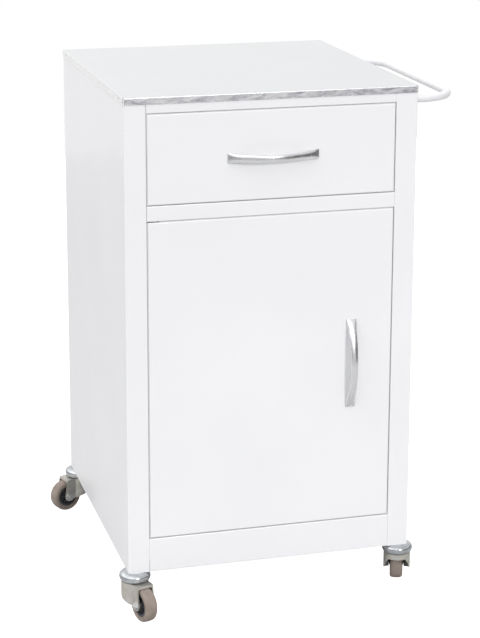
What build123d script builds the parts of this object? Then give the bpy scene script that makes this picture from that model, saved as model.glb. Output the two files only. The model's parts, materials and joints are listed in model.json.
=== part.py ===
"""A steel bedside cabinet on four swivel casters, with a drawer, a door and a towel rail on its right side.

Millimetres, +Z up, front towards -Y. The origin is on the floor, under the middle of the overall box.
"""

from build123d import *
from math import cos, radians, sin
import os

# Overall size
WIDTH = 450.0
DEPTH = 480.0
HEIGHT = 803.0
CASTER_HEIGHT = 71.0

# Sheet metal
SHEET = 1.0
FOLD_R = 1.5  # outside radius of a fold
SEAM = 0.2  # open seam between the front rails and the stiles
GAP = 1.7  # gap round the inset drawer front and door

# Front frame, from the top down
STILE = 33.0
RETURN = 40.0  # depth of the frame's inward folds
TRAY_LIP = 11.0
TOP_RAIL = 23.5
DRAWER_OPENING = 137.0
MIDDLE_RAIL = 23.0
BOTTOM_RAIL = 53.0

# Drawer
PAN_DEPTH = 18.0  # of the folded drawer front and door skin
DRAWER_BOX_H = 112.0
DRAWER_BOX_DEPTH = 415.0
DRAWER_FLOOR_LIFT = 6.0
SLIDE_LENGTH = 400.0
SLIDE_H = 45.0
SLIDE_T = 12.7
SLIDE_SHEET = 1.2
SLIDE_LIFT = 48.0  # of the slides' middle above the drawer opening's sill

# Handles: bows standing off the panel, with a screw in each foot
HANDLE_LENGTH = 139.0
HANDLE_HOLES = 128.0
HANDLE_RISE = 24.0
HANDLE_BAR = 4.5
HANDLE_TOE = 3.0  # height of the bow's end faces
HANDLE_FOOT_WIDTH = 15.5
HANDLE_MIDDLE_WIDTH = 10.0
HANDLE_FOOT_LENGTH = 14.0
HANDLE_EDGE = 0.7  # chamfer along the bow
SCREW_R = 2.0
SCREW_DEPTH = 4.0  # into the handle's foot
SCREW_HEAD_R = 4.0
SCREW_HEAD_H = 2.5
DRAWER_HANDLE_DROP = 2.5  # handle's middle below the opening's
DOOR_HANDLE_FROM_TOP = 424.5  # handle's middle below the top
DOOR_HANDLE_FROM_RIGHT = 99.0

# Door hinge and catch
HINGE_FROM_EDGE = 12.0
HINGE_FROM_FRONT = 6.0
PIN_R = 2.5
BUSH_R = 4.5
BUSH_LENGTH = 12.0
RUNNING = 0.05  # radial clearance of a running fit
CATCH_SIZE = (16.0, 18.0, 46.0)
STRIKE_T = 1.2

# Shelf
SHELF_Z = 375.0
SHELF_LIP = 18.0
SHELF_SETBACK = 55.0

# Towel rail
RAIL_DROP = 29.0  # tube's middle below the top
RAIL_REACH = 85.0
RAIL_LENGTH = 380.0
RAIL_BEND_R = 60.0
RAIL_R = 6.2
RAIL_WALL = 1.5
RAIL_SCREW_R = 3.0

# Casters
CASTER_INSET = 12.0  # swivel axis inside the cabinet's sides
WHEEL_R = 26.0
WHEEL_WIDTH = 20.0
HUB_R = 17.5
TRAIL = 28.5
AXLE_R = 3.0
CUP_R = 24.0
CUP_H = 14.0
CUP_DOME = 11.0  # how far in the cup's domed shoulder reaches
CUP_DOME_H = 7.5
CUP_TUCK = 3.5  # how far the cup draws in at its bottom
STEM_R = 5.0
KINGPIN_R = 4.0
FORK_R = 21.0
FORK_SHEET = 2.0
FORK_HALF_WIDTH = 14.0
CORNERS = {
    # name: (side towards +X, side towards +Y, direction the wheel trails in, degrees from +X)
    "front_left": (-1, -1, 287.0),
    "front_right": (1, -1, 71.0),
    "rear_left": (-1, 1, 200.0),
    "rear_right": (1, 1, 60.0),
}


def wheel_reach(trail_angle, direction):
    """How far a trailing wheel reaches from its swivel axis, in a direction."""
    turn = radians(trail_angle - direction)
    return TRAIL * cos(turn) + WHEEL_R * abs(cos(turn)) + WHEEL_WIDTH / 2 * abs(sin(turn))


# The overall box runs from the rear left wheel to the towel rail, and from the front left wheel
# to the rear right one. The cabinet's own middle lies off the origin by half the difference.
reach_left = wheel_reach(CORNERS["rear_left"][2], 180) - CASTER_INSET
reach_right = RAIL_REACH + RAIL_R
reach_front = wheel_reach(CORNERS["front_left"][2], 270) - CASTER_INSET
reach_back = wheel_reach(CORNERS["rear_right"][2], 90) - CASTER_INSET
MIDDLE_X = (reach_left - reach_right) / 2
MIDDLE_Y = (reach_front - reach_back) / 2

# Outer planes of the painted panels. The stainless top laps over them by its own thickness.
LEFT = MIDDLE_X - WIDTH / 2 + SHEET
RIGHT = MIDDLE_X + WIDTH / 2 - SHEET
FRONT = MIDDLE_Y - DEPTH / 2 + SHEET
BACK = MIDDLE_Y + DEPTH / 2 - SHEET
BASE = CASTER_HEIGHT
BODY_TOP = HEIGHT - SHEET

# Edges of the drawer and door openings
OPENING_LEFT = LEFT + STILE
OPENING_RIGHT = RIGHT - STILE
DRAWER_TOP = BODY_TOP - TOP_RAIL
DRAWER_SILL = DRAWER_TOP - DRAWER_OPENING
DOOR_TOP = DRAWER_SILL - MIDDLE_RAIL
DOOR_SILL = BASE + BOTTOM_RAIL
HINGE_X = OPENING_LEFT + GAP + HINGE_FROM_EDGE
HINGE_Y = FRONT + HINGE_FROM_FRONT
SLIDE_Z = DRAWER_SILL + SLIDE_LIFT

CORNER = (Align.MIN, Align.MIN)
CORNER_3D = (Align.MIN, Align.MIN, Align.MIN)

os.makedirs("parts", exist_ok=True)


def save(piece, label):
    """Labels a finished piece and writes its STEP file."""
    piece.label = label
    export_step(piece, f"parts/{label}.step")


# ---------------------------------------------------------------- cabinet body

with BuildPart() as left_side_panel:
    with BuildSketch(Plane.XY.offset(BASE)) as section:
        with Locations((LEFT, FRONT)):
            Rectangle(SHEET, BACK - FRONT, align=CORNER)
            Rectangle(STILE, SHEET, align=CORNER)
        with Locations((OPENING_LEFT - SHEET, FRONT)):
            Rectangle(SHEET, RETURN, align=CORNER)
        with Locations((LEFT, BACK - 2 * SHEET)):
            Rectangle(STILE, SHEET, align=CORNER)
        fillet(section.vertices().group_by(Axis.Y)[0], FOLD_R)
    extrude(amount=BODY_TOP - BASE)
save(left_side_panel.part, "left_side_panel")

with BuildPart() as right_side_panel:
    add(mirror(left_side_panel.part, about=Plane.YZ.offset(MIDDLE_X)))
    with Locations(Plane((RIGHT, MIDDLE_Y, HEIGHT - RAIL_DROP), x_dir=(0, 1, 0), z_dir=(1, 0, 0))):
        with Locations((-RAIL_LENGTH / 2, 0), (RAIL_LENGTH / 2, 0)):
            Hole(RAIL_SCREW_R, depth=2 * SHEET)
save(right_side_panel.part, "right_side_panel")

with BuildPart() as back_panel:
    with BuildSketch(Plane.XY.offset(BASE)):
        with Locations((MIDDLE_X, BACK - SHEET / 2)):
            Rectangle(RIGHT - LEFT - 2 * SHEET, SHEET)
    extrude(amount=BODY_TOP - BASE)
save(back_panel.part, "back_panel")

# The cupboard's floor, level with the bottom rail, with a fold down at each side
with BuildPart() as floor_panel:
    with BuildSketch(Plane.XZ.offset(-FRONT - RETURN)):
        with Locations((MIDDLE_X, DOOR_SILL)):
            Rectangle(RIGHT - LEFT - 2 * SHEET, SHELF_LIP, align=(Align.CENTER, Align.MAX))
        with Locations((MIDDLE_X, DOOR_SILL - SHEET)):
            Rectangle(
                RIGHT - LEFT - 4 * SHEET, SHELF_LIP, align=(Align.CENTER, Align.MAX), mode=Mode.SUBTRACT
            )
    extrude(amount=-(BACK - 2 * SHEET - FRONT - RETURN))
save(floor_panel.part, "floor_panel")


def front_rail(low, high):
    """A channel between the stiles, folded back at its top and bottom, flush with them in front."""
    with BuildPart() as rail:
        with BuildSketch(Plane.YZ.offset(OPENING_LEFT + SEAM)) as section:
            with Locations((FRONT, low)):
                Rectangle(SHEET, high - low, align=CORNER)
                Rectangle(RETURN, SHEET, align=CORNER)
            with Locations((FRONT, high - SHEET)):
                Rectangle(RETURN, SHEET, align=CORNER)
            fillet(section.vertices().group_by(Axis.X)[0], FOLD_R)
        extrude(amount=OPENING_RIGHT - OPENING_LEFT - 2 * SEAM)
    return rail.part


with BuildPart() as top_rail:
    add(front_rail(DRAWER_TOP, BODY_TOP))
save(top_rail.part, "top_rail")

with BuildPart() as middle_rail:
    add(front_rail(DOOR_TOP, DRAWER_SILL))
    with Locations((HINGE_X, HINGE_Y, DOOR_TOP + SHEET)):
        Hole(PIN_R, depth=2 * SHEET)
save(middle_rail.part, "middle_rail")

with BuildPart() as bottom_rail:
    add(front_rail(BASE, DOOR_SILL))
    with Locations((HINGE_X, HINGE_Y, DOOR_SILL)):
        Hole(PIN_R, depth=2 * SHEET)
save(bottom_rail.part, "bottom_rail")

# Stainless top: a shallow tray turned upside down over the body, with a relief at each corner
RELIEF_R = 1.6
with BuildPart() as top_tray:
    with BuildSketch(Plane.XY.offset(HEIGHT)):
        with Locations((MIDDLE_X, MIDDLE_Y)):
            Rectangle(WIDTH, DEPTH)
    extrude(amount=-TRAY_LIP)
    fillet(top_tray.faces().sort_by(Axis.Z)[-1].edges(), FOLD_R)
    with BuildSketch(Plane.XY.offset(BODY_TOP)):
        with Locations((MIDDLE_X, MIDDLE_Y)):
            Rectangle(RIGHT - LEFT, BACK - FRONT)
    extrude(amount=-TRAY_LIP, mode=Mode.SUBTRACT)
    with BuildSketch(Plane.XY.offset(HEIGHT)):
        with Locations((MIDDLE_X, MIDDLE_Y)):
            with GridLocations(WIDTH - 2 * SHEET, DEPTH - 2 * SHEET, 2, 2):
                Circle(RELIEF_R)
    extrude(amount=-TRAY_LIP, mode=Mode.SUBTRACT)
save(top_tray.part, "top_tray")

# ---------------------------------------------------------------- shelf

SHELF_WIDTH = RIGHT - LEFT - 2 * SHEET - 2 * GAP
SHELF_DEPTH = BACK - FRONT - 2 * SHELF_SETBACK
with BuildPart() as shelf:
    with BuildSketch(Plane.XY.offset(SHELF_Z)):
        with Locations((MIDDLE_X, MIDDLE_Y)):
            Rectangle(SHELF_WIDTH, SHELF_DEPTH)
    extrude(amount=-SHELF_LIP)
    fillet(shelf.faces().sort_by(Axis.Z)[-1].edges(), FOLD_R)
    offset(amount=-SHEET, openings=shelf.faces().sort_by(Axis.Z)[0])
save(shelf.part, "shelf")

# Four angle brackets on the side panels, under the shelf's side folds
BRACKET = 20.0
BRACKET_T = 1.5
with BuildPart() as shelf_brackets:
    for side, wall in ((1, LEFT + SHEET), (-1, RIGHT - SHEET)):
        for y in (MIDDLE_Y - SHELF_DEPTH / 3, MIDDLE_Y + SHELF_DEPTH / 3):
            with BuildSketch(Plane.XZ.offset(-y - BRACKET / 2)):
                with Locations((wall, SHELF_Z - SHELF_LIP)):
                    rest_align = Align.MIN if side > 0 else Align.MAX
                    Rectangle(BRACKET, BRACKET_T, align=(rest_align, Align.MAX))
                    Rectangle(BRACKET_T, BRACKET, align=(rest_align, Align.MAX))
            extrude(amount=BRACKET)
save(shelf_brackets.part, "shelf_brackets")

# ---------------------------------------------------------------- towel rail

rail_plane = Plane((RIGHT, MIDDLE_Y, HEIGHT - RAIL_DROP))
with BuildPart() as towel_rail:
    with BuildLine(rail_plane) as rail_path:
        FilletPolyline(
            (0, -RAIL_LENGTH / 2),
            (RAIL_REACH, -RAIL_LENGTH / 2),
            (RAIL_REACH, RAIL_LENGTH / 2),
            (0, RAIL_LENGTH / 2),
            radius=RAIL_BEND_R,
        )
    with BuildSketch(Plane(rail_path.line @ 0, z_dir=rail_path.line % 0)):
        Circle(RAIL_R)
        Circle(RAIL_R - RAIL_WALL, mode=Mode.SUBTRACT)
    sweep(path=rail_path.line)
save(towel_rail.part, "towel_rail")

# Threaded inserts in the rail's two ends, and the screws that hold them from inside the cabinet
INSERT_LENGTH = 14.0
RAIL_SCREW_LENGTH = 12.0
RAIL_SCREW_HEAD_R = 5.5
RAIL_SCREW_HEAD_H = 3.5
rail_ends = (-RAIL_LENGTH / 2, RAIL_LENGTH / 2)
with BuildPart() as towel_rail_inserts:
    with BuildSketch(Plane(rail_plane.origin, x_dir=(0, 1, 0), z_dir=(1, 0, 0))):
        with Locations(*[(end, 0) for end in rail_ends]):
            Circle(RAIL_R - RAIL_WALL)
            Circle(RAIL_SCREW_R, mode=Mode.SUBTRACT)
    extrude(amount=INSERT_LENGTH)
save(towel_rail_inserts.part, "towel_rail_inserts")

with BuildPart() as towel_rail_screws:
    with BuildSketch(Plane(rail_plane.origin - (SHEET, 0, 0), x_dir=(0, 1, 0), z_dir=(1, 0, 0))):
        with Locations(*[(end, 0) for end in rail_ends]):
            Circle(RAIL_SCREW_R)
    extrude(amount=RAIL_SCREW_LENGTH)
    with BuildSketch(Plane(rail_plane.origin - (SHEET, 0, 0), x_dir=(0, 1, 0), z_dir=(1, 0, 0))):
        with Locations(*[(end, 0) for end in rail_ends]):
            Circle(RAIL_SCREW_HEAD_R)
    extrude(amount=-RAIL_SCREW_HEAD_H)
save(towel_rail_screws.part, "towel_rail_screws")

# ---------------------------------------------------------------- drawer slides

SLIDE_START = FRONT + PAN_DEPTH + SLIDE_SHEET
MIDDLE_MEMBER_H = SLIDE_H - 7.0
INNER_MEMBER_H = SLIDE_H - 14.0
SLIDE_WEB_GAP = 3.0
OUTER_FLANGE = 9.0
MIDDLE_FLANGE = 8.0
INNER_FLANGE = 7.0


def channel(side, near, flange, height, opens_inwards):
    """A slide member: a C-shaped channel along Y, its web upright.

    side is 1 on the cabinet's left and -1 on its right, near is the distance of the channel's
    nearer edge from the opening's side, and opens_inwards says which way the channel faces.
    """
    wall = OPENING_LEFT if side > 0 else OPENING_RIGHT
    web_at = near if opens_inwards else near + flange - SLIDE_SHEET
    with BuildPart() as member:
        with BuildSketch(Plane.XZ.offset(-SLIDE_START)):
            with Locations((wall + side * (near + flange / 2), SLIDE_Z)):
                with GridLocations(0, height - SLIDE_SHEET, 1, 2):
                    Rectangle(flange, SLIDE_SHEET)
            with Locations((wall + side * (web_at + SLIDE_SHEET / 2), SLIDE_Z)):
                Rectangle(SLIDE_SHEET, height)
        extrude(amount=-SLIDE_LENGTH)
    return member.part


for side, name in ((1, "left"), (-1, "right")):
    save(channel(side, 0, OUTER_FLANGE, SLIDE_H, True), f"{name}_slide_outer")
    save(channel(side, SLIDE_WEB_GAP, MIDDLE_FLANGE, MIDDLE_MEMBER_H, True), f"{name}_slide_middle")
    save(channel(side, SLIDE_T - INNER_FLANGE, INNER_FLANGE, INNER_MEMBER_H, False), f"{name}_slide_inner")

# A channel on each side panel that carries the slide level with the opening's edge
CARRIER_H = 60.0
for side, name, wall in ((1, "left", LEFT + SHEET), (-1, "right", RIGHT - SHEET)):
    with BuildPart() as slide_carrier:
        with BuildSketch(Plane.XZ.offset(-FRONT - RETURN)):
            with Locations((wall + side * (STILE - SHEET) / 2, SLIDE_Z)):
                Rectangle(STILE - SHEET, CARRIER_H)
            with Locations((wall + side * (STILE / 2 - SHEET), SLIDE_Z)):
                Rectangle(STILE - SHEET, CARRIER_H - 2 * SHEET, mode=Mode.SUBTRACT)
        extrude(amount=-(SLIDE_LENGTH - RETURN))
    save(slide_carrier.part, f"{name}_slide_carrier")

# ---------------------------------------------------------------- drawer and door


def front_pan(low, high):
    """An inset front: a sheet folded back on all four sides, filling an opening to within the gap."""
    with BuildPart() as pan:
        with BuildSketch(Plane.XZ.offset(-FRONT)):
            with Locations((MIDDLE_X, (low + high) / 2)):
                Rectangle(OPENING_RIGHT - OPENING_LEFT - 2 * GAP, high - low - 2 * GAP)
        extrude(amount=-PAN_DEPTH)
        fillet(pan.faces().sort_by(Axis.Y)[0].edges(), FOLD_R)
        offset(amount=-SHEET, openings=pan.faces().sort_by(Axis.Y)[-1])
    return pan.part


drawer_handle_z = (DRAWER_TOP + DRAWER_SILL) / 2 - DRAWER_HANDLE_DROP
door_handle_x = RIGHT - DOOR_HANDLE_FROM_RIGHT
door_handle_z = HEIGHT - DOOR_HANDLE_FROM_TOP
# Handle planes: local X along the handle, local Z out of the front
drawer_handle_plane = Plane((MIDDLE_X, FRONT, drawer_handle_z), x_dir=(1, 0, 0), z_dir=(0, -1, 0))
door_handle_plane = Plane((door_handle_x, FRONT, door_handle_z), x_dir=(0, 0, 1), z_dir=(0, -1, 0))

with BuildPart() as drawer_front:
    add(front_pan(DRAWER_SILL, DRAWER_TOP))
    with Locations(drawer_handle_plane):
        with GridLocations(HANDLE_HOLES, 0, 2, 1):
            Hole(SCREW_R, depth=2 * SHEET)
save(drawer_front.part, "drawer_front")

DRAWER_BOX_WIDTH = OPENING_RIGHT - OPENING_LEFT - 2 * SLIDE_T
with BuildPart() as drawer_box:
    with BuildSketch(Plane.XY.offset(DRAWER_SILL + DRAWER_FLOOR_LIFT)):
        with Locations((MIDDLE_X, FRONT + PAN_DEPTH)):
            Rectangle(DRAWER_BOX_WIDTH, DRAWER_BOX_DEPTH, align=(Align.CENTER, Align.MIN))
    extrude(amount=DRAWER_BOX_H)
    offset(amount=-SHEET, openings=drawer_box.faces().sort_by(Axis.Z)[-1])
save(drawer_box.part, "drawer_box")

with BuildPart() as door_skin:
    add(front_pan(DOOR_SILL, DOOR_TOP))
    with Locations(door_handle_plane):
        with GridLocations(HANDLE_HOLES, 0, 2, 1):
            Hole(SCREW_R, depth=2 * SHEET)
    with Locations((HINGE_X, HINGE_Y, DOOR_TOP - GAP)):
        Hole(BUSH_R)
save(door_skin.part, "door_skin")

# The door's inner sheet closes the skin at the back
with BuildPart() as door_liner:
    with BuildSketch(Plane.XZ.offset(-FRONT - PAN_DEPTH)):
        with Locations((MIDDLE_X, (DOOR_SILL + DOOR_TOP) / 2)):
            Rectangle(OPENING_RIGHT - OPENING_LEFT - 2 * GAP, DOOR_TOP - DOOR_SILL - 2 * GAP)
    extrude(amount=-SHEET)
save(door_liner.part, "door_liner")

# ---------------------------------------------------------------- handles


def bow_handle(plane):
    """A bow drawn in from wide feet to a narrow middle, with a blind screw hole in each foot."""
    half = HANDLE_LENGTH / 2
    inner_half = half - HANDLE_FOOT_LENGTH
    inner_rise = HANDLE_RISE - HANDLE_BAR
    with BuildPart(plane) as handle:
        with BuildSketch(Plane(plane.origin, x_dir=plane.x_dir, z_dir=plane.x_dir.cross(plane.z_dir))):
            with BuildLine():
                Line((-half, 0), (-half, HANDLE_TOE))
                ThreePointArc((-half, HANDLE_TOE), (0, HANDLE_RISE), (half, HANDLE_TOE))
                Polyline((half, HANDLE_TOE), (half, 0), (inner_half, 0))
                ThreePointArc((inner_half, 0), (0, inner_rise), (-inner_half, 0))
                Line((-inner_half, 0), (-half, 0))
            make_face()
        extrude(amount=HANDLE_FOOT_WIDTH / 2, both=True)
        with BuildSketch(plane):
            foot = HANDLE_FOOT_WIDTH / 2
            middle = HANDLE_MIDDLE_WIDTH / 2
            with BuildLine():
                ThreePointArc((-half, foot), (0, middle), (half, foot))
                Line((half, foot), (half, -foot))
                ThreePointArc((half, -foot), (0, -middle), (-half, -foot))
                Line((-half, -foot), (-half, foot))
            make_face()
        extrude(amount=2 * HANDLE_RISE, mode=Mode.INTERSECT)
        chamfer(handle.edges().filter_by(GeomType.LINE, reverse=True), HANDLE_EDGE)
        with BuildSketch(plane):
            with GridLocations(HANDLE_HOLES, 0, 2, 1):
                Circle(SCREW_R)
        extrude(amount=SCREW_DEPTH, mode=Mode.SUBTRACT)
    return handle.part


def handle_screws(plane):
    """Two pan-head screws, from behind the panel into the handle's feet."""
    with BuildPart() as screws:
        with BuildSketch(plane.offset(-SHEET)):
            with GridLocations(HANDLE_HOLES, 0, 2, 1):
                Circle(SCREW_R)
        extrude(amount=SHEET + SCREW_DEPTH)
        with BuildSketch(plane.offset(-SHEET)):
            with GridLocations(HANDLE_HOLES, 0, 2, 1):
                Circle(SCREW_HEAD_R)
        extrude(amount=-SCREW_HEAD_H)
    return screws.part


for name, plane in (("drawer", drawer_handle_plane), ("door", door_handle_plane)):
    save(bow_handle(plane), f"{name}_handle")
    save(handle_screws(plane), f"{name}_handle_screws")

# ---------------------------------------------------------------- hinge and catch

# Two pins fixed in the rails, each with a head inside its rail, reach into bushes in the door
PIN_HEAD_R = 4.5
PIN_HEAD_H = 2.0
with BuildPart() as hinge_pins:
    for edge, into_door in ((DOOR_SILL, 1), (DOOR_TOP, -1)):
        head_side = edge - into_door * SHEET
        with BuildSketch(Plane.XY.offset(head_side)):
            with Locations((HINGE_X, HINGE_Y)):
                Circle(PIN_R)
        extrude(amount=into_door * (SHEET + GAP + BUSH_LENGTH))
        with BuildSketch(Plane.XY.offset(head_side)):
            with Locations((HINGE_X, HINGE_Y)):
                Circle(PIN_HEAD_R)
        extrude(amount=-into_door * PIN_HEAD_H)
save(hinge_pins.part, "hinge_pins")

with BuildPart() as hinge_bushes:
    for edge, into_door in ((DOOR_SILL + GAP, 1), (DOOR_TOP - GAP, -1)):
        with BuildSketch(Plane.XY.offset(edge)):
            with Locations((HINGE_X, HINGE_Y)):
                Circle(BUSH_R)
                Circle(PIN_R + RUNNING, mode=Mode.SUBTRACT)
        extrude(amount=into_door * BUSH_LENGTH)
save(hinge_bushes.part, "hinge_bushes")

# A magnetic catch on the right stile's fold, and the strike plate that it holds on the door
catch_w, catch_d, catch_h = CATCH_SIZE
catch_y = FRONT + PAN_DEPTH + SHEET + STRIKE_T + SEAM
with BuildPart() as magnetic_catch:
    with BuildSketch(Plane.XZ.offset(-catch_y)):
        with Locations((OPENING_RIGHT - catch_w / 2, door_handle_z)):
            RectangleRounded(catch_w, catch_h, FOLD_R)
    extrude(amount=-catch_d)
save(magnetic_catch.part, "magnetic_catch")

with BuildPart() as catch_strike:
    with BuildSketch(Plane.XZ.offset(-FRONT - PAN_DEPTH - SHEET)):
        with Locations((OPENING_RIGHT - GAP - SEAM - catch_w / 2, door_handle_z)):
            RectangleRounded(catch_w - GAP, catch_h - 2 * GAP, FOLD_R)
    extrude(amount=-STRIKE_T)
save(catch_strike.part, "catch_strike")

# ---------------------------------------------------------------- casters

# A caster's own frame: swivel axis on Z, floor at 0, wheel trailing towards +X, axle along Y
CUP_BOTTOM = BASE - CUP_H
CROWN_TOP = CUP_BOTTOM - 0.4
CROWN_BOTTOM = CROWN_TOP - FORK_SHEET
RIVET_R = 8.0
RIVET_H = 2.0
STEM_H = 16.0
GUSSET = 46.0
GUSSET_T = 3.0
NUT_H = 8.0
NUT_FLATS_R = 8.5

# Race cup with its stem above and the kingpin riveted over below the fork's crown
with BuildPart() as caster_mount:
    with BuildSketch(Plane.XZ):
        with BuildLine():
            Polyline(
                (0, BASE + STEM_H),
                (STEM_R, BASE + STEM_H),
                (STEM_R, BASE),
                (CUP_R - CUP_DOME, BASE),
            )
            Bezier((CUP_R - CUP_DOME, BASE), (CUP_R, BASE), (CUP_R, BASE - CUP_DOME_H))
            ThreePointArc(
                (CUP_R, BASE - CUP_DOME_H),
                (CUP_R - 0.2 * CUP_TUCK, BASE - (CUP_H + CUP_DOME_H) / 2),
                (CUP_R - CUP_TUCK, CUP_BOTTOM),
            )
            Polyline(
                (CUP_R - CUP_TUCK, CUP_BOTTOM),
                (KINGPIN_R, CUP_BOTTOM),
                (KINGPIN_R, CROWN_BOTTOM - 0.4),
                (RIVET_R, CROWN_BOTTOM - 0.4),
                (RIVET_R - 1, CROWN_BOTTOM - 0.4 - RIVET_H),
                (0, CROWN_BOTTOM - 0.4 - RIVET_H),
                (0, BASE + STEM_H),
            )
        make_face()
    revolve(axis=Axis.Z)

# Pressed fork: a crown that hoods the wheel, with a skirt that runs into two legs down to the axle
LEG_BOSS_R = 7.5
SKIRT_H = 20.0
HOOD_REACH = 31.5
HOOD_EDGE = CROWN_TOP - 3.8
ARCH_TOP = CROWN_BOTTOM - 6.5
ARCH_TOP_WIDTH = 26.5
ARCH_WIDTH = 36.5
ARCH_SLOPE_H = 10.0
WAIST_R = 5.0


def fork_plan(inset, reach):
    """The fork from above: a round crown that runs into two parallel legs."""
    with BuildSketch() as plan:
        Circle(FORK_R - inset)
        Rectangle(reach, 2 * (FORK_HALF_WIDTH - inset), align=(Align.MIN, Align.CENTER))
        fillet(plan.vertices().group_by(Axis.X)[0], WAIST_R + inset)
    return plan.sketch


with BuildPart() as caster_fork:
    with BuildSketch(Plane.XZ):
        with Locations((TRAIL, WHEEL_R)):
            Circle(LEG_BOSS_R)
        with Locations((-FORK_R, CROWN_TOP)):
            Rectangle(FORK_R + HOOD_REACH, SKIRT_H, align=(Align.MIN, Align.MAX))
        make_hull()
    extrude(amount=FORK_R, both=True)
    with BuildSketch():
        add(fork_plan(0, 2 * TRAIL))
    extrude(amount=BASE, mode=Mode.INTERSECT)
    with BuildSketch():
        add(fork_plan(FORK_SHEET, HOOD_REACH - FORK_SHEET))
    extrude(amount=CROWN_BOTTOM, mode=Mode.SUBTRACT)
    with BuildSketch(Plane.YZ) as wheel_mouth:
        with Locations((0, HOOD_EDGE)):
            Rectangle(2 * (FORK_HALF_WIDTH - FORK_SHEET), BASE, align=(Align.CENTER, Align.MAX))
        fillet(wheel_mouth.vertices().group_by(Axis.Y)[-1], WAIST_R / 2)
    extrude(amount=2 * TRAIL, mode=Mode.SUBTRACT)
    with BuildSketch(Plane.YZ):
        Polygon(
            (-ARCH_TOP_WIDTH / 2, ARCH_TOP),
            (ARCH_TOP_WIDTH / 2, ARCH_TOP),
            (ARCH_WIDTH / 2, ARCH_TOP - ARCH_SLOPE_H),
            (ARCH_WIDTH / 2, 0),
            (-ARCH_WIDTH / 2, 0),
            (-ARCH_WIDTH / 2, ARCH_TOP - ARCH_SLOPE_H),
            align=None,
        )
    extrude(amount=-FORK_R, mode=Mode.SUBTRACT)
    with BuildSketch(Plane.XY.offset(CROWN_BOTTOM)):
        Circle(KINGPIN_R + RUNNING)
    extrude(amount=FORK_SHEET, mode=Mode.SUBTRACT)
    with BuildSketch(Plane.XZ):
        with Locations((TRAIL, WHEEL_R)):
            Circle(AXLE_R)
    extrude(amount=FORK_R, both=True, mode=Mode.SUBTRACT)

# Axle bolt: hexagon head on one leg, its threaded end standing past the nut on the other
BOLT_HEAD_R = 5.8
BOLT_HEAD_H = 3.5
AXLE_NUT_H = 4.5
BOLT_END = 1.5
with BuildPart() as caster_axle:
    with BuildSketch(Plane.XZ.offset(FORK_HALF_WIDTH)):
        with Locations((TRAIL, WHEEL_R)):
            RegularPolygon(BOLT_HEAD_R, 6)
    extrude(amount=BOLT_HEAD_H)
    with BuildSketch(Plane.XZ.offset(FORK_HALF_WIDTH)):
        with Locations((TRAIL, WHEEL_R)):
            Circle(AXLE_R)
    extrude(amount=-(2 * FORK_HALF_WIDTH + AXLE_NUT_H + BOLT_END))

with BuildPart() as caster_axle_nut:
    with BuildSketch(Plane.XZ.offset(-FORK_HALF_WIDTH)):
        with Locations((TRAIL, WHEEL_R)):
            RegularPolygon(BOLT_HEAD_R, 6)
            Circle(AXLE_R, mode=Mode.SUBTRACT)
    extrude(amount=-AXLE_NUT_H)

# Hub and tyre: profiles across the wheel, revolved about the axle
axle_axis = Axis((TRAIL, 0, WHEEL_R), (0, 1, 0))
HUB_FACE = WHEEL_WIDTH / 2 - 1.5
BOSS_FACE = FORK_HALF_WIDTH - FORK_SHEET - 0.6
HUB_WEB = 3.5
with BuildPart() as caster_hub:
    with BuildSketch(Plane.YZ.offset(TRAIL)):
        with Locations((0, WHEEL_R)):
            Polygon(
                (-BOSS_FACE, AXLE_R + RUNNING),
                (BOSS_FACE, AXLE_R + RUNNING),
                (BOSS_FACE, 6.0),
                (HUB_WEB, 7.5),
                (HUB_WEB, 12.5),
                (HUB_FACE, 14.5),
                (HUB_FACE, HUB_R),
                (-HUB_FACE, HUB_R),
                (-HUB_FACE, 14.5),
                (-HUB_WEB, 12.5),
                (-HUB_WEB, 7.5),
                (-BOSS_FACE, 6.0),
                align=None,
            )
    revolve(axis=axle_axis)

SHOULDER = 3.5
with BuildPart() as caster_tyre:
    with BuildSketch(Plane.YZ.offset(TRAIL)) as tyre_profile:
        with Locations((0, WHEEL_R)):
            Polygon(
                (-HUB_FACE, HUB_R),
                (HUB_FACE, HUB_R),
                (WHEEL_WIDTH / 2, HUB_R + 1.5),
                (WHEEL_WIDTH / 2, WHEEL_R),
                (-WHEEL_WIDTH / 2, WHEEL_R),
                (-WHEEL_WIDTH / 2, HUB_R + 1.5),
                align=None,
            )
        fillet(tyre_profile.vertices().group_by(Axis.Y)[-1], SHOULDER)
    revolve(axis=axle_axis)

swivel_at = {}
for name, (side_x, side_y, trail_angle) in CORNERS.items():
    x = LEFT + CASTER_INSET if side_x < 0 else RIGHT - CASTER_INSET
    y = FRONT + CASTER_INSET if side_y < 0 else BACK - CASTER_INSET
    swivel_at[name] = (x, y)
    place = Location((x, y, 0), (0, 0, trail_angle))
    save(caster_mount.part.moved(place), f"{name}_caster_mount")
    save(caster_fork.part.moved(place), f"{name}_caster_fork")
    save(caster_axle.part.moved(place), f"{name}_caster_axle")
    save(caster_axle_nut.part.moved(place), f"{name}_caster_axle_nut")
    save(caster_hub.part.moved(place), f"{name}_caster_hub")
    save(caster_tyre.part.moved(place), f"{name}_caster_tyre")

# Gussets welded into the body's bottom corners, behind the stiles' and rails' faces
with BuildPart() as caster_gussets:
    with BuildSketch(Plane.XY.offset(BASE)):
        for name, (side_x, side_y, _) in CORNERS.items():
            x, y = swivel_at[name]
            edge_x = LEFT + SHEET if side_x < 0 else RIGHT - SHEET
            edge_y = FRONT + SHEET if side_y < 0 else BACK - 2 * SHEET
            corner_align = (
                Align.MIN if side_x < 0 else Align.MAX,
                Align.MIN if side_y < 0 else Align.MAX,
            )
            with Locations((edge_x, edge_y)):
                Rectangle(STILE - 2 * SHEET, GUSSET, align=corner_align)
            with Locations((x, y)):
                Circle(STEM_R, mode=Mode.SUBTRACT)
    extrude(amount=GUSSET_T)
save(caster_gussets.part, "caster_gussets")

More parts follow.
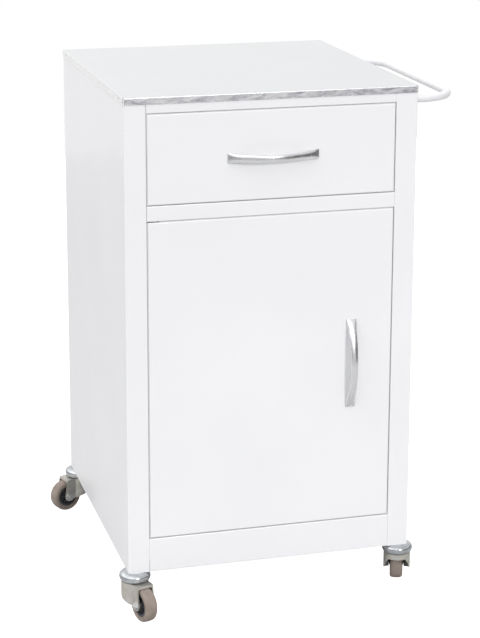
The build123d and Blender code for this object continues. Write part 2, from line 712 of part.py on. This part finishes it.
with BuildPart() as caster_nuts:
    with BuildSketch(Plane.XY.offset(BASE + GUSSET_T)):
        with Locations(*swivel_at.values()):
            RegularPolygon(NUT_FLATS_R, 6)
            Circle(STEM_R, mode=Mode.SUBTRACT)
    extrude(amount=NUT_H)
save(caster_nuts.part, "caster_nuts")
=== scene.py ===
"""The looks of the bedside cabinet: materials, detailed pieces, light and camera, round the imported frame.

Metres, in the frame's own axes: +Z up, the front towards -Y, the towel rail on +X.
"""

import json
import math

import bmesh
import bpy
from mathutils import Matrix, Vector


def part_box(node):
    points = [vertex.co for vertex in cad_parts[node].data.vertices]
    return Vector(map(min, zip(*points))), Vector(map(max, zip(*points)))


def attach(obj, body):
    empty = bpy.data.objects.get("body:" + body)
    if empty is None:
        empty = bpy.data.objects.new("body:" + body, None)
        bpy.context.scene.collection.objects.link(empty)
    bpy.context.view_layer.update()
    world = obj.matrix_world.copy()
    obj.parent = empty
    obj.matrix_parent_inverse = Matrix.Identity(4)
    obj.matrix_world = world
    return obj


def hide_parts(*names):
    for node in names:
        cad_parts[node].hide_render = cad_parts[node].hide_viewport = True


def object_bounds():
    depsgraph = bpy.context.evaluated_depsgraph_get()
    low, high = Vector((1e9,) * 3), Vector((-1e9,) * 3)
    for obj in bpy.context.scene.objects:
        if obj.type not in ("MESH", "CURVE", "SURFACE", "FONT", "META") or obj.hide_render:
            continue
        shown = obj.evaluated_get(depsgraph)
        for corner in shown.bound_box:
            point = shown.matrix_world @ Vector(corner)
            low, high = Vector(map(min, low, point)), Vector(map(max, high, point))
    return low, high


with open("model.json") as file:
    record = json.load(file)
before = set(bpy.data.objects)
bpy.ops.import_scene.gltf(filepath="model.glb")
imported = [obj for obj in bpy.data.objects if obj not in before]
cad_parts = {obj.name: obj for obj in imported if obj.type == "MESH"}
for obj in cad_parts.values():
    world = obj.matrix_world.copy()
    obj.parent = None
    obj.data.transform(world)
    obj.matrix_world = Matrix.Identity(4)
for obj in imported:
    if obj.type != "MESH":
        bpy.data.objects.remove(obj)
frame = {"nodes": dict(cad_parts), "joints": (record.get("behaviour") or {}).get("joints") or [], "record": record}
cad_low, cad_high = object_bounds()
nodes = frame["nodes"]
CORNERS = ("front_left", "front_right", "rear_left", "rear_right")
MM = 0.001

# ------------------------------------------------------------------ materials


class Surface:
    """A node material: one Principled shader, with helpers that add the nodes which drive it."""

    def __init__(self, name, **constants):
        self.material = bpy.data.materials.new(name)
        self.material.use_nodes = True
        self.tree = self.material.node_tree
        self.shader = self.tree.nodes["Principled BSDF"]
        for socket, value in constants.items():
            self.shader.inputs[socket.replace("_", " ")].default_value = value

    def node(self, kind, inputs=(), **settings):
        made = self.tree.nodes.new(kind)
        for key, value in settings.items():
            setattr(made, key, value)
        for socket, value in dict(inputs).items():
            if isinstance(value, bpy.types.NodeSocket):
                self.tree.links.new(value, made.inputs[socket])
            else:
                made.inputs[socket].default_value = value
        return made

    def place(self, stretch=(1, 1, 1)):
        """Points of the object, in metres, stretched along each axis."""
        here = self.node("ShaderNodeTexCoord").outputs["Object"]
        return self.node("ShaderNodeMapping", {"Vector": here, "Scale": stretch}).outputs["Vector"]

    def grain(self, scale, detail=4.0, roughness=0.55, stretch=(1, 1, 1), distortion=0.0):
        inputs = {
            "Vector": self.place(stretch),
            "Scale": scale,
            "Detail": detail,
            "Roughness": roughness,
            "Distortion": distortion,
        }
        return self.node("ShaderNodeTexNoise", inputs).outputs["Fac"]

    def ramp(self, factor, *stops):
        """A colour ramp over factor; each stop is (position, colour)."""
        made = self.node("ShaderNodeValToRGB", {"Fac": factor})
        points = made.color_ramp.elements
        while len(points) < len(stops):
            points.new(0.5)
        for point, (position, colour) in zip(points, stops):
            point.position = position
            point.color = (*colour, 1.0)
        return made.outputs["Color"]

    def spread(self, factor, low, high):
        """factor's middle range, mapped to low and high."""
        inputs = {"Value": factor, "From Min": 0.3, "From Max": 0.7, "To Min": low, "To Max": high}
        return self.node("ShaderNodeMapRange", inputs).outputs["Result"]

    def mix(self, factor, first, second, blend="MIX"):
        made = self.node("ShaderNodeMix", data_type="RGBA", blend_type=blend)
        for socket, value in ((made.inputs[0], factor), (made.inputs[6], first), (made.inputs[7], second)):
            if isinstance(value, bpy.types.NodeSocket):
                self.tree.links.new(value, socket)
            else:
                socket.default_value = value if isinstance(value, float) else (*value, 1.0)
        return made.outputs[2]

    def bump(self, height, strength, distance):
        inputs = {"Height": height, "Strength": strength, "Distance": distance}
        return self.node("ShaderNodeBump", inputs).outputs["Normal"]

    def drive(self, **links):
        for socket, output in links.items():
            self.tree.links.new(output, self.shader.inputs[socket.replace("_", " ")])
        return self


def enamel():
    """White powder coat: faint clouding, orange peel, and a gloss that varies a little."""
    surface = Surface("white_powder_coat", Coat_Weight=0.35, Coat_Roughness=0.12, Specular_IOR_Level=0.5)
    clouds = surface.grain(5.0, detail=3.0)
    colour = surface.ramp(clouds, (0.3, (0.84, 0.84, 0.86)), (0.7, (0.865, 0.865, 0.885)))
    peel = surface.grain(180.0, detail=1.0)
    return surface.drive(
        Base_Color=colour,
        Roughness=surface.spread(surface.grain(14.0), 0.37, 0.44),
        Normal=surface.bump(peel, 0.03, 0.0001),
    ).material


FOLD_BLEND = 0.4 * MM


def stainless(fold_z):
    """The stainless top: fine brushing along X on the flat; on the fold, smears in its relief and gloss, and on
    its front face dark, purplish and bright patches in the colour that are painted reflections of the room and the
    lights.
    """
    surface = Surface("stainless_steel", Metallic=1.0)
    height = surface.node("ShaderNodeSeparateXYZ", {0: surface.place()}).outputs["Z"]
    fold = {"Value": height, "From Min": fold_z - FOLD_BLEND, "From Max": fold_z + FOLD_BLEND}
    on_flat = surface.node("ShaderNodeMapRange", fold).outputs["Result"]

    brushing = surface.grain(60.0, detail=6.0, stretch=(0.06, 14.0, 14.0))
    clouds = surface.grain(4.0, detail=3.0)
    tint = surface.ramp(clouds, (0.3, (0.785, 0.79, 0.80)), (0.7, (0.835, 0.838, 0.845)))
    flat_colour = surface.mix(surface.spread(brushing, 0.0, 1.0), tint, (0.78, 0.79, 0.80))
    # The smears roughen and dent the fold; on the fold's front face they and the broad patches also make painted
    # reflections in the colour
    smears_and_painted_reflection = surface.grain(55.0, detail=5.0, stretch=(1.0, 1.0, 3.0), distortion=0.8)
    patches = surface.grain(13.0, detail=3.0, stretch=(1.0, 1.0, 0.5))
    grey = surface.ramp(
        smears_and_painted_reflection,
        (0.35, (0.56, 0.54, 0.59)),
        (0.5, (0.82, 0.81, 0.86)),
        (0.65, (0.98, 0.97, 1.0)),
    )
    front_painted_reflection = surface.mix(surface.spread(patches, -0.5, 1.1), grey, (0.93, 0.93, 0.95))
    side_colour = surface.mix(surface.spread(smears_and_painted_reflection, 0.0, 0.6), (0.84, 0.83, 0.83), (0.72, 0.71, 0.71))
    normal = surface.node("ShaderNodeNewGeometry").outputs["Normal"]
    outward = surface.node("ShaderNodeSeparateXYZ", {0: normal})
    frontal = surface.node("ShaderNodeMath", {0: outward.outputs["Y"]}, operation="ABSOLUTE").outputs[0]
    # Painted reflections on the fold's front face only; its side faces keep a plain smeared grey
    lip_colour = surface.mix(frontal, side_colour, front_painted_reflection)

    relief = surface.mix(on_flat, smears_and_painted_reflection, brushing)
    gloss = surface.mix(on_flat, surface.spread(smears_and_painted_reflection, 0.2, 0.34), surface.spread(brushing, 0.32, 0.46))
    return surface.drive(
        Base_Color=surface.mix(on_flat, lip_colour, flat_colour),
        Roughness=gloss,
        Normal=surface.bump(relief, 0.08, 0.0004),
    ).material


def satin_chrome(name, stretch):
    """Chrome with a soft polish, whose fine lines run along the axis that is stretched least."""
    surface = Surface(name, Metallic=1.0)
    lines = surface.grain(120.0, detail=5.0, stretch=stretch)
    clouds = surface.grain(30.0, detail=2.0)
    return surface.drive(
        Base_Color=surface.ramp(clouds, (0.3, (0.78, 0.78, 0.795)), (0.7, (0.85, 0.85, 0.865))),
        Roughness=surface.spread(lines, 0.2, 0.3),
        Normal=surface.bump(lines, 0.03, 0.0002),
    ).material


def bright_zinc():
    """The casters' race cups: bright plate with a faint blue passivation."""
    surface = Surface("bright_zinc", Metallic=1.0)
    clouds = surface.grain(70.0, detail=4.0)
    return surface.drive(
        Base_Color=surface.ramp(clouds, (0.3, (0.42, 0.44, 0.46)), (0.7, (0.62, 0.64, 0.66))),
        Roughness=surface.spread(clouds, 0.1, 0.22),
        Normal=surface.bump(surface.grain(160.0), 0.05, 0.0003),
    ).material


def pressed_zinc(name="pressed_zinc", dark=(0.50, 0.48, 0.44), pale=(0.66, 0.64, 0.59)):
    """Dull, slightly yellow plate on pressed steel, with a fine spangle."""
    surface = Surface(name, Metallic=0.85)
    cells = {"Vector": surface.place(), "Scale": 260.0}
    spangle = surface.node("ShaderNodeTexVoronoi", cells).outputs["Color"]
    mottle = surface.ramp(surface.grain(90.0, detail=5.0), (0.3, dark), (0.7, pale))
    return surface.drive(
        Base_Color=surface.mix(0.05, mottle, spangle, "OVERLAY"),
        Roughness=surface.spread(surface.grain(60.0), 0.36, 0.5),
        Normal=surface.bump(surface.grain(500.0), 0.08, 0.0003),
    ).material


def tyre_rubber():
    """Taupe rubber, mottled and a little dusty."""
    surface = Surface("taupe_rubber", Specular_IOR_Level=0.35)
    patches = surface.grain(110.0, detail=6.0)
    mottle = surface.ramp(patches, (0.3, (0.235, 0.185, 0.158)), (0.7, (0.315, 0.255, 0.218)))
    dust = surface.grain(28.0, detail=3.0)
    colour = surface.mix(surface.spread(dust, 0.0, 0.45), mottle, (0.36, 0.32, 0.285))
    return surface.drive(
        Base_Color=colour,
        Roughness=surface.spread(dust, 0.5, 0.72),
        Normal=surface.bump(surface.grain(900.0, detail=3.0), 0.22, 0.0004),
    ).material


def moulded(name, dark, pale, low, high):
    """Moulded plastic, between two colours and between two roughnesses."""
    surface = Surface(name, Specular_IOR_Level=0.4)
    clouds = surface.grain(80.0, detail=4.0)
    return surface.drive(
        Base_Color=surface.ramp(clouds, (0.3, dark), (0.7, pale)),
        Roughness=surface.spread(clouds, low, high),
        Normal=surface.bump(surface.grain(1200.0, detail=2.0), 0.12, 0.0003),
    ).material


finish = {
    "white_enamel": enamel(),
    "stainless_top": stainless(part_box("top_tray")[1].z - 2.0 * MM),
    "satin_chrome": satin_chrome("satin_chrome", (0.2, 3.0, 3.0)),
    "bright_zinc": bright_zinc(),
    "zinc_plate": pressed_zinc("zinc_plate", (0.52, 0.52, 0.52), (0.68, 0.68, 0.67)),
    "grey_hub": moulded("grey_hub", (0.035, 0.036, 0.042), (0.06, 0.061, 0.068), 0.3, 0.45),
    "rubber_tyre": tyre_rubber(),
    "nylon": moulded("nylon", (0.72, 0.72, 0.69), (0.8, 0.8, 0.77), 0.35, 0.5),
}
fork_finish = pressed_zinc()
upright_chrome = satin_chrome("satin_chrome_upright", (3.0, 3.0, 0.2))

slot_of = {part["node"]: part["material_slot"] for part in frame["record"]["subparts"]}
for name, obj in nodes.items():
    surface = fork_finish if name.endswith("_caster_fork") else finish[slot_of[name]]
    obj.data.materials.clear()
    obj.data.materials.append(surface)

# ------------------------------------------------------------------ detailed pieces


SHARP_ANGLE = math.radians(40.0)


def piece(name, build, body, slot, surface, *replaced):
    """A finished mesh: smooth up to an angle, riding on a body, in place of any CAD nodes named."""
    bmesh.ops.remove_doubles(build, verts=build.verts, dist=1e-6)
    bmesh.ops.recalc_face_normals(build, faces=build.faces)
    mesh = bpy.data.meshes.new(name)
    build.to_mesh(mesh)
    build.free()
    mesh.shade_smooth()
    mesh.set_sharp_from_angle(angle=SHARP_ANGLE)
    mesh.materials.append(surface)
    obj = bpy.data.objects.new(name, mesh)
    bpy.context.scene.collection.objects.link(obj)
    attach(obj, body)
    if replaced:
        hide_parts(*replaced)


CORNER_STEPS = 4


def softened(corners):
    """A closed profile with its corners rounded; each corner is (radius, height, rounding) in mm."""
    points = []
    for i, (r, h, rounding) in enumerate(corners):
        corner = Vector((r, h))
        ends = []
        for r2, h2, _ in (corners[i - 1], corners[(i + 1) % len(corners)]):
            side = Vector((r2, h2)) - corner
            ends.append(corner + side.normalized() * min(rounding, 0.45 * side.length))
        for step in range(CORNER_STEPS + 1):
            t = step / CORNER_STEPS
            points.append((1 - t) ** 2 * ends[0] + 2 * t * (1 - t) * corner + t * t * ends[1])
    return points


def lathe(build, corners, place, segments=96):
    """Revolves a closed profile about the placing matrix's Z."""
    profile = softened(corners)
    rings = []
    for step in range(segments):
        turn = Matrix.Rotation(2 * math.pi * step / segments, 4, "Z")
        rings.append([build.verts.new(place @ turn @ Vector((p.x * MM, 0, p.y * MM))) for p in profile])
    for ring, following in zip(rings, rings[1:] + rings[:1]):
        for i in range(len(profile)):
            j = (i + 1) % len(profile)
            build.faces.new((ring[i], ring[j], following[j], following[i]))


def mirrored(corners):
    """A profile's corners, then the same corners on the other side of height 0, to close it."""
    return corners + [(r, -h, rounding) for r, h, rounding in reversed(corners)]


# Dark discs in the folds at the tray's sides, near its corners: painted shade standing in for the dark inside of
# small holes there. A disc is (radius, proud, rounding)
HOLE_SHADE_R = 1.6
HOLE_SHADE_DISC = (
    (0.0, -0.3, 0.0),
    (HOLE_SHADE_R, -0.3, 0.1),
    (HOLE_SHADE_R, 0.03, 0.1),
    (0.6, 0.03, 0.1),
    (0.0, -0.15, 0.0),
)
HOLE_SHADE_FROM_CORNER = 30.0 * MM
HOLE_SHADE_SEGMENTS = 24


# Painted shade: four dark discs, set into the tray's side folds where small holes show dark
def tray_hole_shade_discs():
    low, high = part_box("top_tray")
    build = bmesh.new()
    for side, x in ((-1, low.x), (1, high.x)):
        facing_out = Vector((side, 0, 0)).to_track_quat("Z", "Y").to_matrix().to_4x4()
        for y in (low.y + HOLE_SHADE_FROM_CORNER, high.y - HOLE_SHADE_FROM_CORNER):
            place = Matrix.Translation((x, y, (low.z + high.z) / 2)) @ facing_out
            lathe(build, HOLE_SHADE_DISC, place, HOLE_SHADE_SEGMENTS)
    piece("tray_side_hole_shade", build, "cabinet", "grey_hub", finish["grey_hub"])


tray_hole_shade_discs()

# The bow handles: crowned bars that narrow towards the middle, standing on two feet
HANDLE_BAR = 4.5
HANDLE_TOE = 3.0
HANDLE_FOOT_LENGTH = 14.0
HANDLE_MIDDLE_WIDTH = 10.0
HANDLE_CROWN = 0.45
HANDLE_SQUARENESS = 0.42
HANDLE_SECTIONS = 80
HANDLE_SIDES = 40


def arc_height(u, half, rise):
    """Height over its chord, at a distance u from the middle, of an arc that rises in the middle."""
    radius = (half * half + rise * rise) / (2 * rise)
    return math.sqrt(max(radius * radius - u * u, 0.0)) - (radius - rise)


def squircle(angle, across, up, squareness):
    """A point on a rounded rectangle's outline."""
    c, s = math.cos(angle), math.sin(angle)
    return (
        across * math.copysign(abs(c) ** squareness, c),
        up * math.copysign(abs(s) ** squareness, s),
    )


def bow_handle(name, body, along):
    """A bow handle lying along X or Z, as long, wide and high as the CAD handle it replaces."""
    low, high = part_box(name)
    size = (high - low) / MM
    upright = along == "Z"
    half = (size.z if upright else size.x) / 2
    foot = (size.x if upright else size.z) / 2
    rise = size.y
    centre = Vector(((low.x + high.x) / 2, high.y, (low.z + high.z) / 2))
    axis = Vector((0, 0, 1)) if upright else Vector((1, 0, 0))
    across = Vector((1, 0, 0)) if upright else Vector((0, 0, 1))
    build = bmesh.new()
    sections = []
    for i in range(HANDLE_SECTIONS + 1):
        u = half * (2 * i / HANDLE_SECTIONS - 1)
        outer = HANDLE_TOE + arc_height(u, half, rise - HANDLE_TOE)
        inner_half = half - HANDLE_FOOT_LENGTH
        inner = arc_height(u, inner_half, rise - HANDLE_BAR) if abs(u) < inner_half else 0.0
        width = foot - arc_height(u, half, foot - HANDLE_MIDDLE_WIDTH / 2)
        ring = []
        for k in range(HANDLE_SIDES):
            v, n = squircle(2 * math.pi * k / HANDLE_SIDES, width, (outer - inner) / 2, HANDLE_SQUARENESS)
            crown = HANDLE_CROWN * (v / width) ** 2 * max(n, 0.0)
            out = (outer + inner) / 2 + n - crown
            ring.append(build.verts.new(centre + (axis * u + across * v - Vector((0, 1, 0)) * out) * MM))
        sections.append(ring)
    for ring, following in zip(sections, sections[1:]):
        for k in range(HANDLE_SIDES):
            j = (k + 1) % HANDLE_SIDES
            build.faces.new((ring[k], ring[j], following[j], following[k]))
    build.faces.new(sections[0])
    build.faces.new(sections[-1])
    surface = upright_chrome if upright else finish["satin_chrome"]
    piece(f"{name}_bow", build, body, "satin_chrome", surface, name)


bow_handle("drawer_handle", "drawer", "X")
bow_handle("door_handle", "door", "Z")


# The seals in the gaps: points of their section, (proud of the pan's edge, depth behind its face)
SEAL_SECTION = ((-0.3, 2.2), (0.8, 2.3), (1.05, 2.7), (1.05, 3.6), (0.8, 4.2), (-0.3, 4.4))
PIN_CLEARANCE = 1.0 * MM


def bead(build, face_y, corners, closed):
    """Sweeps the seals' section past corners, each an (edge's x, outward) and an (edge's z, outward)."""
    loops = []
    for proud, depth in SEAL_SECTION:
        y = face_y + depth * MM
        loop = []
        for (x, x_outward), (z, z_outward) in corners:
            place = (x + x_outward * proud * MM, y, z + z_outward * proud * MM)
            loop.append(build.verts.new(place))
        loops.append(loop)
    count = len(corners)
    for loop, following in zip(loops, loops[1:] + loops[:1]):
        for k in range(count if closed else count - 1):
            j = (k + 1) % count
            build.faces.new((loop[k], loop[j], following[j], following[k]))
    if not closed:
        for end in (0, -1):
            build.faces.new([loop[end] for loop in loops])


def edge_seal(name, body, pan, pins=None):
    """A soft white bead round an inset front, in its gap, a little way behind the face.

    Where pins stand in the gap, the bead is left out between them and the near corners.
    """
    low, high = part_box(pan)
    left, right = (low.x, -1), (high.x, 1)
    bottom, top = (low.z, -1), (high.z, 1)
    build = bmesh.new()
    if pins is None:
        bead(build, low.y, ((left, bottom), (right, bottom), (right, top), (left, top)), closed=True)
    else:
        start = (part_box(pins)[1].x + PIN_CLEARANCE, 0)
        bead(build, low.y, ((start, bottom), (right, bottom), (right, top), (start, top)), closed=False)
        bead(build, low.y, ((left, bottom), (left, top)), closed=False)
    piece(name, build, body, "nylon", finish["nylon"])


edge_seal("drawer_edge_seal", "drawer", "drawer_front")
edge_seal("door_edge_seal", "door", "door_skin", "hinge_pins")

# Casters. Profiles are (radius, distance from the wheel's middle plane, rounding)
HUB_R = 17.5
LEG_FACE = 14.0
WASHER_SEGMENTS = 48
HUB_PROFILE = [
    (3.05, 11.4, 0.2),
    (5.8, 11.4, 0.6),
    (6.6, 7.0, 0.5),
    (7.6, 3.4, 1.0),
    (12.6, 3.2, 1.2),
    (14.2, 8.2, 0.5),
    (15.6, 8.3, 0.3),
    (15.9, 8.9, 0.3),
    (HUB_R - 0.4, 8.9, 0.3),
    (HUB_R, 8.4, 0.2),
]
WASHER_PROFILE = [
    (3.1, LEG_FACE, 0.1),
    (7.0, LEG_FACE, 0.1),
    (7.0, LEG_FACE + 0.9, 0.4),
    (3.1, LEG_FACE + 0.9, 0.1),
]
HEAD_PROFILE = [
    (0.0, LEG_FACE + 3.4, 0.0),
    (3.6, LEG_FACE + 3.4, 0.1),
    (3.6, LEG_FACE + 4.4, 0.8),
    (1.6, LEG_FACE + 5.2, 0.8),
    (0.0, LEG_FACE + 5.3, 0.0),
]
# Ribs in the hub's dish: each face's outline is (radius, distance), tapering towards the rim
RIB_COUNT = 6
RIB_HALF_THICK = 0.75
RIB_OUTLINE = ((6.6, 3.0), (13.6, 3.0), (13.6, 5.6), (6.6, 8.6))
joint_of = {joint["name"]: joint for joint in frame["joints"]}


def tyre_profile(wheel_r):
    """Half of a tyre: a bead and a groove beside the hub, then the shoulder and the crowned tread."""
    return [
        (HUB_R, 8.4, 0.2),
        (HUB_R + 0.9, 9.5, 0.5),
        (HUB_R + 2.0, 9.6, 0.4),
        (HUB_R + 2.6, 8.9, 0.3),
        (HUB_R + 3.2, 9.8, 0.4),
        (wheel_r - 3.2, 10.0, 1.4),
        (wheel_r - 0.7, 8.0, 1.8),
        (wheel_r, 4.5, 2.0),
    ]


def moulded_tyre(corner, place, wheel_r):
    build = bmesh.new()
    lathe(build, mirrored(tyre_profile(wheel_r)), place)
    name, replaced = f"{corner}_tyre_moulded", f"{corner}_caster_tyre"
    piece(name, build, f"{corner}_wheel", "rubber_tyre", finish["rubber_tyre"], replaced)


def rib(build, place, side):
    """One radial rib, on one side of the hub's web."""
    faces = []
    for edge in (-RIB_HALF_THICK, RIB_HALF_THICK):
        points = [place @ Vector((r * MM, edge * MM, side * h * MM)) for r, h in RIB_OUTLINE]
        faces.append([build.verts.new(point) for point in points])
    build.faces.new(faces[0])
    build.faces.new(faces[1])
    for i in range(len(RIB_OUTLINE)):
        j = (i + 1) % len(RIB_OUTLINE)
        build.faces.new((faces[0][i], faces[0][j], faces[1][j], faces[1][i]))


def moulded_hub(corner, place):
    build = bmesh.new()
    lathe(build, mirrored(HUB_PROFILE), place)
    for side in (-1, 1):
        for k in range(RIB_COUNT):
            rib(build, place @ Matrix.Rotation(2 * math.pi * k / RIB_COUNT, 4, "Z"), side)
    name, replaced = f"{corner}_hub_moulded", f"{corner}_caster_hub"
    piece(name, build, f"{corner}_wheel", "grey_hub", finish["grey_hub"], replaced)


def axle_washers(corner, place):
    """A washer under the axle's head and one under its nut, and a domed end on the head."""
    build = bmesh.new()
    head_side = place @ Matrix.Rotation(math.pi, 4, "X")
    lathe(build, WASHER_PROFILE, head_side, WASHER_SEGMENTS)
    lathe(build, HEAD_PROFILE, head_side, WASHER_SEGMENTS)
    lathe(build, WASHER_PROFILE, place, WASHER_SEGMENTS)
    piece(f"{corner}_axle_washers", build, f"{corner}_swivel", "zinc_plate", finish["zinc_plate"])


for corner in CORNERS:
    spin = joint_of[f"{corner}_wheel_spin"]
    axle = Vector(spin["pos_m"])
    along_axle = Vector(spin["axis"]).to_track_quat("Z", "Y").to_matrix().to_4x4()
    wheel_place = Matrix.Translation(axle) @ along_axle
    moulded_tyre(corner, wheel_place, axle.z / MM)
    moulded_hub(corner, wheel_place)
    axle_washers(corner, wheel_place)

# ------------------------------------------------------------------ floor, light and camera

# A white sheet on the floor, with a dim room round it that the chrome and the gloss pick up. It glows for
# the camera's own rays only, so it burns out to white and still bounces little light
FLOOR_LOW = (-1.7, -1.7)
FLOOR_HIGH = (1.7, 3.2)
FLOOR_GLOW = 0.95


def floor_material():
    surface = Surface("studio_floor", Specular_IOR_Level=0.0, Emission_Color=(1.0, 1.0, 1.0, 1.0))
    seen = surface.node("ShaderNodeLightPath").outputs["Is Camera Ray"]
    glow = surface.node("ShaderNodeMath", {0: seen, 1: FLOOR_GLOW}, operation="MULTIPLY").outputs[0]
    clouds = surface.grain(0.8, detail=2.0)
    return surface.drive(
        Base_Color=surface.ramp(clouds, (0.3, (0.57, 0.57, 0.57)), (0.7, (0.59, 0.59, 0.59))),
        Roughness=surface.spread(surface.grain(2.0), 0.85, 0.95),
        Emission_Strength=glow,
    ).material


def studio_floor():
    (x0, y0), (x1, y1) = FLOOR_LOW, FLOOR_HIGH
    build = bmesh.new()
    build.faces.new([build.verts.new((x, y, 0)) for x, y in ((x0, y0), (x1, y0), (x1, y1), (x0, y1))])
    mesh = bpy.data.meshes.new("studio_floor")
    build.to_mesh(mesh)
    build.free()
    mesh.materials.append(floor_material())
    floor = bpy.data.objects.new("studio_floor", mesh)
    bpy.context.scene.collection.objects.link(floor)


studio_floor()

world = bpy.data.worlds.new("studio")
bpy.context.scene.world = world
world.use_nodes = True
sky = world.node_tree
background = sky.nodes["Background"]
background.inputs["Color"].default_value = (1.0, 1.0, 1.0, 1.0)


def sky_node(kind, inputs, **settings):
    made = sky.nodes.new(kind)
    for key, value in settings.items():
        setattr(made, key, value)
    for socket, value in inputs.items():
        if isinstance(value, bpy.types.NodeSocket):
            sky.links.new(value, made.inputs[socket])
        else:
            made.inputs[socket].default_value = value
    return made


def sky_range(value, low, high, at_low, at_high):
    inputs = {"Value": value, "From Min": low, "From Max": high, "To Min": at_low, "To Max": at_high}
    return sky_node("ShaderNodeMapRange", inputs).outputs["Result"]


def sky_math(operation, first, second):
    return sky_node("ShaderNodeMath", {0: first, 1: second}, operation=operation).outputs[0]


# A white tent: bright overhead, most of all on the left, behind the object and straight in front, and dim
# low down at the sides. The camera itself sees plain white
facing = sky_node("ShaderNodeSeparateXYZ", {0: sky.nodes.new("ShaderNodeTexCoord").outputs["Generated"]})
overhead = sky_range(facing.outputs["Z"], 0.1, 0.5, 0.2, 1.0)
behind = sky_range(facing.outputs["Y"], 0.1, 0.8, 0.0, 1.0)
off_centre = sky_math("ADD", facing.outputs["X"], 0.1)
in_front = sky_range(sky_math("ABSOLUTE", off_centre, 0.0), 0.4, 0.7, 0.57, 0.0)
leftward = sky_range(facing.outputs["X"], -0.7, 0.4, 1.85, 0.8)
lit_above = sky_math("MULTIPLY", overhead, leftward)
tent = sky_math("MAXIMUM", sky_math("MAXIMUM", lit_above, behind), in_front)
seen = sky.nodes.new("ShaderNodeLightPath").outputs["Is Camera Ray"]
strength = sky_node("ShaderNodeMix", {0: seen, 2: tent, 3: 1.0}, data_type="FLOAT").outputs[0]
sky.links.new(strength, background.inputs["Strength"])


def softbox(name, place, aim, size, power):
    """A soft rectangular light at a place, facing a point."""
    light = bpy.data.lights.new(name, "AREA")
    light.shape = "RECTANGLE"
    light.size, light.size_y = size
    light.energy = power
    obj = bpy.data.objects.new(name, light)
    obj.location = place
    obj.rotation_mode = "QUATERNION"
    obj.rotation_quaternion = (Vector(aim) - Vector(place)).to_track_quat("-Z", "Y")
    bpy.context.scene.collection.objects.link(obj)


KEY_PLACE = (1.1, -6.4, 3.0)
KEY_SIZE = (0.7, 0.7)
KEY_POWER = 142.0
softbox("key", KEY_PLACE, (cad_low + cad_high) / 2, KEY_SIZE, KEY_POWER)

# The camera's place is measured from the middle of the cabinet's top
top_low, top_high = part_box("top_tray")
CAMERA_OFFSET = Vector((-0.7856, -2.9083, 0.481))
CAMERA_AT = Vector(((top_low.x + top_high.x) / 2, (top_low.y + top_high.y) / 2, top_high.z)) + CAMERA_OFFSET
CAMERA_AZIMUTH = 15.4
CAMERA_ELEVATION = 13.62
CAMERA_ROLL = 0.16
CAMERA_LENS = 109.0
CAMERA_SHIFT = -0.155
camera = bpy.data.cameras.new("camera")
camera.lens = CAMERA_LENS
camera.shift_y = CAMERA_SHIFT
camera.clip_end = 100.0
viewer = bpy.data.objects.new("camera", camera)
viewer.matrix_world = (
    Matrix.Translation(CAMERA_AT)
    @ Matrix.Rotation(math.radians(-CAMERA_AZIMUTH), 4, "Z")
    @ Matrix.Rotation(math.radians(90 - CAMERA_ELEVATION), 4, "X")
    @ Matrix.Rotation(math.radians(CAMERA_ROLL), 4, "Z")
)
bpy.context.scene.collection.objects.link(viewer)
bpy.context.scene.camera = viewer
bpy.context.scene.view_settings.view_transform = "Standard"
